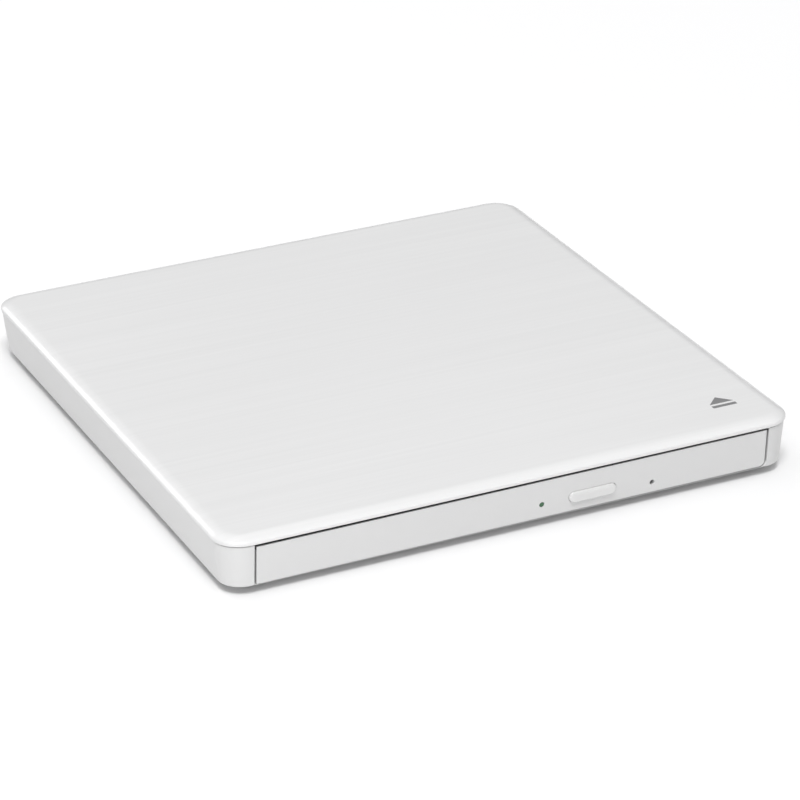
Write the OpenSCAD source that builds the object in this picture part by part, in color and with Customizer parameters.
// Slim external optical disc drive: flat case with a drawer-type tray, a spindle with a
// snap-on disc hub, a laser pickup on two guide rods, a latch with its solenoid, a circuit
// board with a small data socket, and the push button that asks for the tray.
// Frame: +X to the right seen from the front, front face toward -Y, +Z up, feet on z = 0.

/* [Case] */
// overall width, mm
case_w = 137.5; // [130:0.5:150]
// overall depth, mm
case_d = 144; // [138:0.5:155]
// overall height on its feet, mm
case_h = 14; // [12:0.5:20]
// plan corner radius, mm
corner_r = 6.7; // [4:0.1:12]
// height of the joint line between cover and case, mm
parting_z = 12.2; // [11:0.1:13]
// cover thickness, mm
cover_t = 1.0; // [0.8:0.1:1.5]
// radius of the rolled edge of the cover, mm
roll_r = 6; // [2:0.5:10]
// height of the case floor's outside, mm
case_z0 = 1.2; // [0.8:0.1:2]
// floor thickness, mm
floor_t = 1.0; // [0.8:0.1:1.5]
// foot radius, mm
foot_r = 4; // [3:0.5:6]

/* [Front] */
// centre of the front opening across the case, mm
mouth_x = 0.3; // [-1:0.1:1]
// half width of the front opening, mm
mouth_half = 61.65; // [60:0.05:63]
// lower edge of the front opening, mm
mouth_z = 2.3; // [2.2:0.05:3]
// half width of the front panel, mm
bezel_half = 61.15; // [60:0.05:62.5]
// lower edge of the front panel, mm
bezel_z0 = 2.45; // [2.35:0.05:4]
// upper edge of the front panel, mm
bezel_z1 = 11.65; // [10:0.05:12.1]
// height of the button, mm
control_z = 5.9; // [5:0.1:8]
// place of the button across the panel, mm
button_x = 18.3; // [5:0.1:50]
// button length, mm
button_w = 11.5; // [8:0.1:16]
// button height, mm
button_h = 2.5; // [2:0.1:4]
// radius of the button's crowned face, mm
crown_r = 1.6; // [1.4:0.1:4]
// place of the lamp across the panel, mm
lamp_x = 6.0; // [-20:0.1:50]
// height of the lamp, mm
lamp_z = 5.7; // [5:0.1:8]
// place of the release hole across the panel, mm
pinhole_x = 33.1; // [20:0.1:50]
// height of the release hole, mm
pinhole_z = 4.95; // [4.8:0.05:8]
// radius of the release hole, mm
pinhole_r = 0.6; // [0.5:0.05:1]

/* [Tray] */
// half width of the tray, mm
tray_half = 57.5; // [55:0.5:59]
// height of the disc deck, mm
deck_z = 8.0; // [7:0.1:9]
// height of the tray's raised corners, mm
tray_z1 = 10.2; // [9:0.1:11]
// underside of the tray, mm
tray_z0 = 3.8; // [3.5:0.1:4.5]
// radius of the disc recess, mm
well_r = 60.6; // [60.2:0.1:62]
// place of the spindle along the depth, mm
spindle_y = -8.5; // [-12:0.5:0]

/* [Pickup] */
// angle of the pickup's line of travel, degrees
travel_angle = 225; // [200:1:250]
// distance from the spindle to the lens at rest, mm
lens_u = 24; // [22:0.5:28]
// height of the guide rods' axes, mm
rod_z = 5.4; // [5:0.1:6]
// side offset of the main guide rod, mm
rod_a_v = 15; // [12:0.5:18]
// side offset of the second guide rod, mm
rod_b_v = -11; // [-14:0.5:-8]
// side offset of the lead screw, mm
screw_v = -15.5; // [-18:0.5:-14]

/* [Spindle] */
// hub radius, mm
hub_r = 7.4; // [7.3:0.01:7.45]
// turntable radius, mm
table_r = 13; // [11:0.5:15]
// height the disc rests at, mm
disc_z = 8.7; // [8.5:0.1:9]

/* [Hidden] */
$fn = 64;
hw = case_w / 2;
hd = case_d / 2;
cx = hw - corner_r;
cy = hd - corner_r;
floor_z = case_z0 + floor_t;
tray_y0 = -69.5;
tray_y1 = 54;
boss_x = 64.5;
boss_y = 56;
post_x = 33;
post_y = -48;
pivot_x = 30;
pivot_y = -64;
ears = [[-14, -14], [-14, 14], [42, -22.5], [42, 22.5]];
claw_angles = [30, 150, 270];
board_holes = [[-47, 63], [47, 63], [12, 66]];
pusher_x = -55;
pusher_z = 5.6;
solenoid_y = -56;
pole_count = 9;
socket_x = 30;
white = [0.90, 0.90, 0.90];
black = [0.06, 0.06, 0.065];
steel = [0.62, 0.63, 0.65];
gold = [0.75, 0.60, 0.25];
green = [0.07, 0.30, 0.16];

// A box from its low and high corners.
module box(x0, x1, y0, y1, z0, z1) {
  translate([x0, y0, z0]) cube([x1 - x0, y1 - y0, z1 - z0]);
}

// Sweeps a section, drawn as distance from the corner axis and height, round the case.
module along_edge() {
  for (i = [0:3]) {
    a = i % 2 == 0 ? cx : cy;
    b = i % 2 == 0 ? cy : cx;
    rotate([0, 0, 90 * i]) translate([a, b, 0]) {
      rotate_extrude(angle = 90) children();
      rotate([90, 0, 0]) linear_extrude(height = 2 * b) children();
    }
  }
}

// Turns a flat profile of x and z into a slab between two depths.
module facing(y0, y1) {
  translate([0, y1, 0]) rotate([90, 0, 0]) linear_extrude(height = y1 - y0) children();
}

// Turns a flat profile of y and z into a bar between two widths.
module across(x0, x1) {
  translate([x0, 0, 0]) rotate([90, 0, 90]) linear_extrude(height = x1 - x0) children();
}

// Local frame of the drive mechanism: u along the pickup's travel, v across it.
module mech() {
  translate([0, spindle_y, 0]) rotate([0, 0, travel_angle]) children();
}

// A rod along u at side offset v.
module rod_u(u0, u1, v, r, z = rod_z) {
  translate([u0, v, z]) rotate([0, 90, 0]) cylinder(h = u1 - u0, r = r);
}

// A rod along Y.
module rod_y(x, y0, y1, z, r) {
  translate([x, y1, z]) rotate([90, 0, 0]) cylinder(h = y1 - y0, r = r);
}

// The outline of the front opening and panel: the lower left corner is nearly square, and the
// lower right one is round.
module mouth_profile(half, z0, z1, left_r, right_r) {
  translate([mouth_x, 0]) {
    translate([-half, z0 + left_r]) square([half, z1 - z0 - left_r]);
    translate([0, z0 + right_r]) square([half, z1 - z0 - right_r]);
    translate([-half + left_r, z0]) square([2 * half - left_r - right_r, right_r + 0.01]);
    translate([-half + left_r, z0 + left_r]) circle(r = left_r);
    translate([half - right_r, z0 + right_r]) circle(r = right_r);
  }
}

// A pill-shaped outline centred on the button.
module pill(w, h) {
  translate([button_x, control_z]) {
    square([w - h, h], center = true);
    for (s = [-1, 1]) translate([s * (w - h) / 2, 0]) circle(d = h);
  }
}

// Section of the cover: flat plate, rolled edge, short rim and a locating lip.
module cover_section() {
  intersection() {
    translate([0, case_h - cover_t]) square([corner_r, cover_t]);
    union() {
      square([3.5, case_h]);
      translate([3.5, case_h - roll_r]) circle(r = roll_r);
    }
  }
  translate([5.3, parting_z]) square([corner_r - 5.3, case_h - cover_t + 0.05 - parting_z]);
  translate([3.9, 11.6]) square([0.7, 1.5]);
}

module top_cover() {
  color(white) difference() {
    union() {
      along_edge() cover_section();
      box(-cx, cx, -cy, cy, case_h - cover_t, case_h);
      for (sx = [-1, 1], sy = [-1, 1]) translate([sx * boss_x, sy * boss_y, 4.05])
        cylinder(h = 9.2, r = 1.9);
    }
    box(-62.3, 62.3, -70.6, -66, 11, case_h - cover_t);
    for (sx = [-1, 1], sy = [-1, 1]) translate([sx * boss_x, sy * boss_y, 4])
      cylinder(h = 7, r = 0.8);
  }
}

// Section of the case: drafted wall, rounded lower edge and a floor that rises to it.
module case_section() {
  polygon([[0, case_z0], [0.5, case_z0], [5.05, 2.1], [5.05, 2.5], [5.45, 2.5],
    [6.45, parting_z], [4.75, parting_z], [4.5, 3.4], [4.1, 2.9], [0.5, floor_z],
    [0, floor_z]]);
  intersection() {
    translate([5.05, 2.5]) circle(r = 0.4);
    translate([4.95, 2]) square([0.5, 0.5]);
  }
}

module bottom_case() {
  color(white) difference() {
    union() {
      along_edge() case_section();
      box(-cx, cx, -cy, cy, case_z0, floor_z);
      for (sx = [-1, 1], sy = [-1, 1]) translate([sx * boss_x, sy * boss_y, 1.7])
        cylinder(h = 2.3, r = 2.1);
      for (p = board_holes) translate([p[0], p[1], 2])
        cylinder(h = 2, r = 2.2);
      box(-58, -52.4, 68.2, 70.3, 2, 8);
    }
    facing(-73, -67) mouth_profile(mouth_half, mouth_z, 14, 0.4, 1.6);
    box(socket_x - 4.3, socket_x + 4.3, 69, 73, 4.5, 9.1);
    for (sx = [-1, 1], sy = [-1, 1]) translate([sx * boss_x, sy * boss_y, 0]) {
      cylinder(h = 2.6, r = 1.7);
      cylinder(h = 5, r = 0.85);
    }
    for (p = board_holes) translate([p[0], p[1], 2.4])
      cylinder(h = 2, r = 0.8);
    rod_y(pusher_x, 67, 70.5, pusher_z, 0.95);
  }
}

module rubber_feet() {
  color([0.25, 0.25, 0.26]) for (sx = [-1, 1], sy = [-1, 1])
    translate([sx * 55, sy * 58, 0]) {
      cylinder(h = 0.25, r1 = foot_r - 0.25, r2 = foot_r);
      translate([0, 0, 0.25]) cylinder(h = case_z0 - 0.25, r = foot_r);
    }
}

module case_screws() {
  color(steel) for (sx = [-1, 1], sy = [-1, 1]) translate([sx * boss_x, sy * boss_y, 0])
    difference() {
      union() {
        translate([0, 0, 1.8]) cylinder(h = 0.8, r = 1.6);
        translate([0, 0, 2.6]) cylinder(h = 6, r = 0.8);
      }
      for (a = [0, 90]) rotate([0, 0, a]) translate([-0.9, -0.15, 1.7]) cube([1.8, 0.3, 0.5]);
    }
}

module bottom_label() {
  color([0.86, 0.86, 0.87]) box(-24, 24, -12, 16, case_z0 - 0.1, case_z0);
}

module shield_plate() {
  color(steel) difference() {
    box(-62.4, 62.4, -65, 66, 12.2, 12.5);
    for (sx = [-1, 1], sy = [-1, 1]) translate([sx * 40, sy * 45, 12]) cylinder(h = 1, r = 3);
  }
}

module chassis_plate() {
  color(steel) difference() {
    box(-62.4, 62.4, -65, 55, floor_z, 2.6);
    for (p = [[-40, -30], [-40, 25], [45, 0]]) translate([p[0], p[1], 2]) cylinder(h = 1, r = 6);
  }
}

// Fixed side channel of the metal frame, with two flanges that hold a rail.
module channel(side) {
  color(steel) mirror([side < 0 ? 1 : 0, 0, 0]) facing(-65, 55)
    polygon([[62.4, 2.6], [62.4, 12.2], [61.4, 12.2], [61.4, 8], [60.2, 8], [60.2, 7.5],
      [61.4, 7.5], [61.4, 3.5], [60.2, 3.5], [60.2, 3], [61.4, 3], [61.4, 2.6]]);
}

module channel_left() {
  channel(-1);
}

module channel_right() {
  channel(1);
}

module main_board() {
  color(green) difference() {
    box(-52, 52, 56.5, 69, 4, 4.8);
    for (p = board_holes) translate([p[0], p[1], 3]) cylinder(h = 3, r = 0.9);
  }
}

// Mouth outline of the data socket, grown outward by g.
module socket_outline(g) {
  translate([socket_x, 0]) polygon([[-3.5 - g, 5.9 - g / 2], [-2.6 - g / 2, 5.2 - g],
    [2.6 + g / 2, 5.2 - g], [3.5 + g, 5.9 - g / 2], [3.5 + g, 8.3 + g], [-3.5 - g, 8.3 + g]]);
}

module usb_socket() {
  color(steel) difference() {
    facing(62.2, 71.2) socket_outline(0.4);
    facing(62.7, 72) socket_outline(0);
  }
}

module usb_contacts() {
  color([0.1, 0.1, 0.1]) box(socket_x - 2.4, socket_x + 2.4, 62.7, 69.6, 6.6, 7.4);
  color(gold) for (i = [-2:2])
    box(socket_x - 0.2 + i * 0.8, socket_x + 0.2 + i * 0.8, 63, 69.3, 6.5, 6.6);
}

module controller_chip() {
  color(black) box(-22, -10, 57.3, 68.3, 5.0, 6.2);
  color(steel) for (i = [0:9]) {
    box(-21.4 + i * 1.16, -21.0 + i * 1.16, 56.9, 68.7, 4.8, 5.0);
  }
}

module board_parts() {
  color(black) for (p = [[-34, 60], [-34, 66], [-40, 66]]) translate([p[0], p[1], 4.8])
    cylinder(h = 2.6, r = 2);
  color([0.7, 0.7, 0.7]) box(-5, 2, 58, 61, 4.8, 6.0);
  color(black) box(38, 43, 58, 62, 4.8, 5.8);
  color([0.55, 0.45, 0.35]) for (i = [0:5]) box(4 + i * 3, 5.6 + i * 3, 62.8, 63.6, 4.8, 5.4);
}

module ribbon_connector() {
  color([0.85, 0.82, 0.7]) difference() {
    box(1, 23, 56.7, 60.3, 2.5, 4);
    box(1.9, 22.1, 56, 58.95, 2.68, 2.82);
  }
}

module board_screws() {
  color(steel) for (p = board_holes) translate([p[0], p[1], 0]) {
    translate([0, 0, 4.8]) cylinder(h = 0.6, r = 1.7);
    translate([0, 0, 2.6]) cylinder(h = 2.2, r = 0.8);
  }
}

module ribbon_cable() {
  color([0.78, 0.45, 0.12]) {
    box(2, 22, -13, 58.9, 2.7, 2.8);
    box(2, 22, -13, 50.7, 3.3, 3.4);
    box(2, 22, 50.7, 50.8, 3.3, 4.6);
    translate([2, -13, 3.05]) rotate([90, 0, 90]) rotate([0, 0, 90])
      rotate_extrude(angle = 180) translate([0.25, 0]) square([0.1, 20]);
  }
}

module latch_post() {
  color(steel) translate([post_x, post_y, 2.6]) {
    cylinder(h = 3, r = 1);
    cylinder(h = 0.4, r = 2);
  }
}

module eject_pusher() {
  color(black) {
    rod_y(pusher_x, 54.3, 55.8, pusher_z, 1.7);
    rod_y(pusher_x, 55.8, 70, pusher_z, 0.9);
  }
}

module eject_spring() {
  color(steel) difference() {
    rod_y(pusher_x, 55.8, 68.2, pusher_z, 1.7);
    rod_y(pusher_x, 55, 69, pusher_z, 1.1);
  }
}

// Telescopic rail between the fixed channel and the tray.
module rail(side) {
  color(white) mirror([side < 0 ? 1 : 0, 0, 0]) facing(-66, 54)
    polygon([[61.3, 3.6], [61.3, 7.4], [58.3, 7.4], [58.3, 6.1], [59.3, 6.1], [59.3, 4.9],
      [58.3, 4.9], [58.3, 3.6]]);
}

module rail_left() {
  rail(-1);
}

module rail_right() {
  rail(1);
}

module tray_frame() {
  color(black) difference() {
    union() {
      difference() {
        union() {
          box(-tray_half, tray_half, tray_y0, tray_y1, tray_z0, tray_z1);
          for (s = [-1, 1]) translate([s * (tray_half + 0.8), -5, 5.5])
            cube([1.6, 118, 1], center = true);
        }
        translate([0, spindle_y, deck_z]) cylinder(h = 5, r = well_r, $fn = 180);
        box(-56, 56, -68, 52.5, 3, 6.9);
      }
      mech() for (e = ears) translate([e[0], e[1], 6.1]) cylinder(h = 0.9, r = 2.5);
      translate([pivot_x, pivot_y, 4.1]) cylinder(h = 2.9, r = 0.8);
      box(40, 41.2, -50, 44, 4.6, 7);
      box(-41.2, -40, 2, 44, 4.6, 7);
    }
    mech() {
      translate([0, 0, 6]) cylinder(h = 3, r = 14);
      translate([0, -12.5, 6]) cube([66.6, 25, 3]);
      for (e = ears) translate([e[0], e[1], 6]) cylinder(h = 1.6, r = 0.95);
    }
    box(button_x - 7.3, button_x + 7.3, -70, -67.9, 3, 7.7);
    rod_y(lamp_x, -70, -67, lamp_z, 0.65);
    rod_y(pinhole_x, -70, -67, pinhole_z, pinhole_r);
    box(30.9, 35.1, 52, 55, 3, 6);
  }
}

module front_bezel() {
  color(white) difference() {
    intersection() {
      across(mouth_x - bezel_half, mouth_x + bezel_half)
        polygon([[-70.7, bezel_z0], [-71.6, bezel_z1], [-71.05, bezel_z1], [-71.05, bezel_z1 - 1],
          [tray_y0, bezel_z1 - 1], [tray_y0, bezel_z0]]);
      facing(-73, -69) mouth_profile(bezel_half, bezel_z0, bezel_z1, 0.3, 1.3);
    }
    facing(-73, -69) pill(button_w + 0.24, button_h + 0.24);
    rod_y(lamp_x, -73, -69, lamp_z, 0.6);
    rod_y(pinhole_x, -73, -69, pinhole_z, pinhole_r);
  }
}

module led_lens() {
  color([0.25, 0.85, 0.35]) rod_y(lamp_x, -70.98, -66.6, lamp_z, 0.6);
}

module status_led() {
  color([0.85, 0.9, 0.85]) box(lamp_x - 1, lamp_x + 1, -66.6, -65.2, 4.5, 6.7);
}

module tray_bottom_plate() {
  color(steel) difference() {
    box(-56.5, 56.5, -67.5, 53, 3.5, tray_z0);
    box(30.9, 35.1, -66, 54, 3, 4);
    box(1.5, 22.5, 50.2, 51.3, 3, 4);
    translate([0, spindle_y, 3]) cylinder(h = 1, r = 8);
  }
}

// Cast frame that carries the spindle motor, the rods and the lead screw.
module traverse_frame() {
  color([0.5, 0.5, 0.52]) difference() {
    union() {
      intersection() {
        union() {
          mech() {
            translate([8, -20, 3.95]) cube([57.6, 40, 0.6]);
            translate([0, 0, 3.95]) cylinder(h = 0.6, r = 18);
            for (e = ears) {
              translate([e[0], e[1], 3.95]) cylinder(h = 1.55, r = 4);
              if (e[0] > 0) translate([e[0] - 4, e[1] < 0 ? e[1] : 19, 3.95])
                cube([8, abs(e[1]) - 19, 0.6]);
            }
          }
        }
        box(-55.7, 55.7, -67.7, 52, 3, 7);
      }
      mech() {
        translate([64.2, -12, 3.95]) cube([1.4, 24, 3.05]);
        for (s = [-1, 1]) translate([15.2, s * 9.5, 4]) cylinder(h = 3, r = 1);
        for (u = [9, 63.9]) translate([u, 13.4, 4]) cube([1.6, 3.2, 2.8]);
        for (u = [12, 63.9]) translate([u, -12.4, 4]) cube([1.6, 2.8, 2.8]);
        translate([58.3, -17, 3.95]) cube([1.5, 2.8, 2.85]);
      }
    }
    mech() {
      translate([0, 0, 3]) cylinder(h = 3, r = 10.5);
      translate([17.4, -14.3, 3]) cube([46.35, 31.6, 3]);
      translate([17.6, -17.3, 3]) cube([40.55, 3.2, 3]);
      translate([5.9, -18.6, 3]) cube([11.7, 6.2, 3]);
      for (e = ears) translate([e[0], e[1], 3]) {
        cylinder(h = 1.9, r = 3.1);
        cylinder(h = 4, r = 2);
      }
      rod_u(8.5, 66, rod_a_v, 1);
      rod_u(11.5, 66, rod_b_v, 0.8);
      rod_u(58, 60, screw_v, 0.65);
    }
  }
}

module traverse_cover() {
  color([0.15, 0.15, 0.16]) mech() difference() {
    translate([9, -12.2, 7]) cube([57.2, 24.4, 0.3]);
    translate([0, 0, 6]) cylinder(h = 3, r = 13.6);
    translate([17, -5.6, 6]) cube([40, 11.2, 3]);
    for (u = [17, 57]) translate([u, 0, 6]) cylinder(h = 3, r = 5.6);
  }
}

module dampers() {
  color([0.2, 0.2, 0.2]) mech() for (e = ears) translate([e[0], e[1], 0]) difference() {
    union() {
      translate([0, 0, 4.3]) cylinder(h = 0.6, r = 3);
      translate([0, 0, 4.9]) cylinder(h = 0.6, r = 2);
      translate([0, 0, 5.5]) cylinder(h = 0.6, r = 3);
    }
    translate([0, 0, 4]) cylinder(h = 3, r = 0.95);
  }
}

module traverse_screws() {
  color(steel) mech() for (e = ears) translate([e[0], e[1], 0]) {
    translate([0, 0, 3.85]) cylinder(h = 0.45, r = 2.1);
    translate([0, 0, 4.3]) cylinder(h = 3.1, r = 0.95);
  }
}

module motor_base() {
  color(steel) mech() difference() {
    union() {
      translate([0, 0, 3.95]) cylinder(h = 0.6, r = 10.5);
      translate([0, 0, 4.55]) cylinder(h = 0.2, r = 13.5);
    }
    translate([0, 0, 4.35]) cylinder(h = 1, r = 9.8);
  }
}

// Repeats a shape at every pole of the spindle motor.
module poles() {
  for (i = [1:pole_count]) rotate([0, 0, 360 / pole_count * i]) children();
}

module stator() {
  color([0.35, 0.36, 0.4]) mech() difference() {
    union() {
      translate([0, 0, 5.1]) cylinder(h = 1.2, r = 4.4);
      poles() translate([4, -0.6, 5.1]) cube([4.6, 1.2, 1.2]);
      intersection() {
        difference() {
          translate([0, 0, 5.1]) cylinder(h = 1.2, r = 9);
          translate([0, 0, 5]) cylinder(h = 2, r = 8.3);
        }
        poles() translate([7.5, -2.1, 5]) cube([2, 4.2, 2]);
      }
    }
    translate([0, 0, 4]) cylinder(h = 3, r = 2.5);
  }
}

module stator_coils() {
  color([0.7, 0.35, 0.15]) mech() poles() difference() {
    translate([5, -1.15, 4.75]) cube([2.8, 2.3, 1.9]);
    translate([4.5, -0.6, 5.1]) cube([4, 1.2, 1.2]);
  }
}

module bearing_sleeve() {
  color(gold) mech() difference() {
    translate([0, 0, 4.35]) cylinder(h = 2.35, r = 2.5);
    translate([0, 0, 4]) cylinder(h = 4, r = 1.03);
  }
}

module guide_rod_main() {
  color([0.8, 0.8, 0.82]) mech() rod_u(9, 65.5, rod_a_v, 1);
}

module guide_rod_sub() {
  color([0.8, 0.8, 0.82]) mech() rod_u(12, 65.5, rod_b_v, 0.8);
}

module sled_motor() {
  color(steel) mech() difference() {
    intersection() {
      rod_u(6, 17.5, screw_v, 3);
      translate([5, -19, 3.95]) cube([14, 7, 2.85]);
    }
    rod_u(11.5, 18, screw_v, 0.65);
  }
}

module front_board() {
  color(green) box(1, 27.5, -67.3, -60.5, 3.9, 4.5);
}

module eject_switch() {
  color([0.75, 0.75, 0.76]) box(button_x - 2.2, button_x + 2.2, -66.5, -64, 4.5, 6.7);
  color(black) rod_y(button_x, -67.35, -66.5, control_z, 0.5);
}

module solenoid_coil() {
  color([0.6, 0.3, 0.12]) difference() {
    box(14.3, 25.2, solenoid_y - 3, solenoid_y + 3, 4.2, 6.5);
    translate([15, solenoid_y, rod_z]) rotate([0, 90, 0]) cylinder(h = 12, r = 0.85);
  }
}

module solenoid_yoke() {
  color(steel) difference() {
    box(13.5, 26, solenoid_y - 3.6, solenoid_y + 3.6, 3.85, 6.8);
    box(14.3, 25.2, solenoid_y - 3, solenoid_y + 3, 3, 7);
    translate([20, solenoid_y, rod_z]) rotate([0, 90, 0]) cylinder(h = 12, r = 0.85);
  }
}

module tray_connector() {
  color([0.85, 0.82, 0.7]) difference() {
    box(1, 23, 49.6, 52.3, 3.85, 5.6);
    box(1.9, 22.1, 50.65, 50.85, 3, 4.65);
  }
}

// Cap of the eject button, with a slightly crowned face, a flange and a stem.
module button_section(half) {
  intersection() {
    translate([half ? 0 : -button_h / 2, -71.6]) square([button_h / (half ? 2 : 1), 2.4]);
    translate([0, crown_r - 71.58]) circle(r = crown_r, $fn = 96);
  }
}

module eject_button() {
  reach = (button_w - button_h) / 2;
  color(white) {
    translate([button_x, 0, control_z]) {
      translate([-reach, 0, 0]) rotate([0, 90, 0])
        linear_extrude(height = 2 * reach) button_section(false);
      for (s = [-1, 1]) translate([s * reach, 0, 0]) rotate([-90, 0, 0])
        rotate_extrude() button_section(true);
    }
    box(button_x - 6.6, button_x + 6.6, -69.2, -68.7, 4.2, 7.5);
    box(button_x - 1.2, button_x + 1.2, -68.7, -68, 5.1, 6.7);
  }
}

module solenoid_plunger() {
  color(steel) translate([18, solenoid_y, rod_z]) rotate([0, 90, 0]) cylinder(h = 10.5, r = 0.75);
}

module latch_lever() {
  color([0.75, 0.75, 0.72]) difference() {
    union() {
      translate([pivot_x, pivot_y, 4.2]) cylinder(h = 2.2, r = 1.8);
      box(28.9, 31.2, -64, -45, 4.2, 5.2);
      box(28.9, 34.2, -46.7, -45, 4.2, 5.2);
      box(30, 34, -66.2, -64.8, 4.2, 6.4);
    }
    translate([pivot_x, pivot_y, 4]) cylinder(h = 3, r = 0.86);
  }
}

module rotor_cup() {
  color(steel) mech() difference() {
    translate([0, 0, 4.9]) cylinder(h = 2.7, r = 11);
    translate([0, 0, 4.8]) cylinder(h = 2.2, r = 10.3);
    translate([0, 0, 4]) cylinder(h = 5, r = 1);
  }
}

module turntable() {
  color(black) mech() difference() {
    translate([0, 0, 7.6]) cylinder(h = 0.8, r = table_r);
    translate([0, 0, 7]) cylinder(h = 3, r = 1);
  }
}

module friction_ring() {
  color([0.12, 0.12, 0.12]) mech() difference() {
    translate([0, 0, 8.4]) cylinder(h = disc_z - 8.4, r = 12.6);
    translate([0, 0, 8]) cylinder(h = 1, r = 9.6);
  }
}

module hub() {
  color([0.7, 0.7, 0.72]) mech() difference() {
    union() {
      translate([0, 0, 8.4]) cylinder(h = 1.9, r = hub_r);
      translate([0, 0, 10.3]) cylinder(h = 0.3, r1 = hub_r, r2 = hub_r - 0.3);
    }
    translate([0, 0, 8]) cylinder(h = 1.6, r = 1);
    for (a = claw_angles) rotate([0, 0, a]) translate([4.1, -1.55, 9.4]) cube([5, 3.1, 2]);
  }
}

module spindle_shaft() {
  color([0.8, 0.8, 0.82]) mech() translate([0, 0, 4.45]) cylinder(h = 5.15, r = 1);
}

// Spring claw of the hub that holds the disc by its centre hole.
module claw(i) {
  color([0.85, 0.85, 0.87]) mech() rotate([0, 0, claw_angles[i - 1]])
    translate([4.95, -1.45, 9.5]) cube([2.9, 2.9, 0.85]);
}

module claw_1() {
  claw(1);
}

module claw_2() {
  claw(2);
}

module claw_3() {
  claw(3);
}

module pickup_base() {
  color([0.45, 0.45, 0.47]) mech() difference() {
    union() {
      translate([18, -8.5, 4.2]) cube([12, 20.5, 2.4]);
      translate([18, -13, 4.2]) cube([12, 5, 2.4]);
      translate([20, -14, 4.6]) cube([4, 1.2, 1.6]);
      for (u = [18, 27]) {
        translate([u, 11.5, 4.2]) cube([3, 2, 2.4]);
        intersection() {
          rod_u(u, u + 3, rod_a_v, 1.9);
          translate([u, 12, 4.05]) cube([3, 6, 2.7]);
        }
      }
    }
    translate([20.4, -4.6, 5.6]) cube([7.2, 9.2, 2]);
    rod_u(17, 31, rod_a_v, 1.05);
    translate([17, -15, 4.55]) cube([14, 5, 1.7]);
    rod_u(17, 31, rod_b_v, 0.85);
  }
}

module pickup_cover() {
  color([0.8, 0.78, 0.7]) mech() difference() {
    translate([18.4, -8, 6.6]) cube([11.2, 19.5, 0.2]);
    translate([20.4, -4.6, 6]) cube([7.2, 9.2, 2]);
  }
}

module laser_diode() {
  color(gold) mech() translate([24, 12, rod_z]) rotate([-90, 0, 0]) cylinder(h = 1.4, r = 1.1);
}

module lens_holder() {
  color(black) mech() difference() {
    translate([21, -4, 6.05]) cube([6, 8, 1.25]);
    translate([lens_u, 0, 6]) cylinder(h = 2, r = 1.9);
  }
}

module objective_lens() {
  color([0.55, 0.65, 0.85]) mech() {
    translate([lens_u, 0, 6.6]) cylinder(h = 0.7, r = 1.9);
    translate([lens_u, 0, 7.3]) cylinder(h = 0.25, r1 = 1.6, r2 = 1.0);
  }
}

module lead_screw() {
  color([0.8, 0.8, 0.82]) mech() {
    rod_u(17.8, 58, screw_v, 1.4);
    rod_u(12, 17.8, screw_v, 0.6);
    rod_u(58, 59.6, screw_v, 0.6);
  }
}

top_cover();
bottom_case();
rubber_feet();
case_screws();
bottom_label();
shield_plate();
chassis_plate();
channel_left();
channel_right();
main_board();
usb_socket();
usb_contacts();
controller_chip();
board_parts();
ribbon_connector();
board_screws();
ribbon_cable();
latch_post();
eject_pusher();
eject_spring();
rail_left();
rail_right();
tray_frame();
front_bezel();
led_lens();
status_led();
tray_bottom_plate();
traverse_frame();
traverse_cover();
dampers();
traverse_screws();
motor_base();
stator();
stator_coils();
bearing_sleeve();
guide_rod_main();
guide_rod_sub();
sled_motor();
front_board();
eject_switch();
solenoid_coil();
solenoid_yoke();
tray_connector();
eject_button();
solenoid_plunger();
latch_lever();
rotor_cup();
turntable();
friction_ring();
hub();
spindle_shaft();
claw_1();
claw_2();
claw_3();
pickup_base();
pickup_cover();
laser_diode();
lens_holder();
objective_lens();
lead_screw();
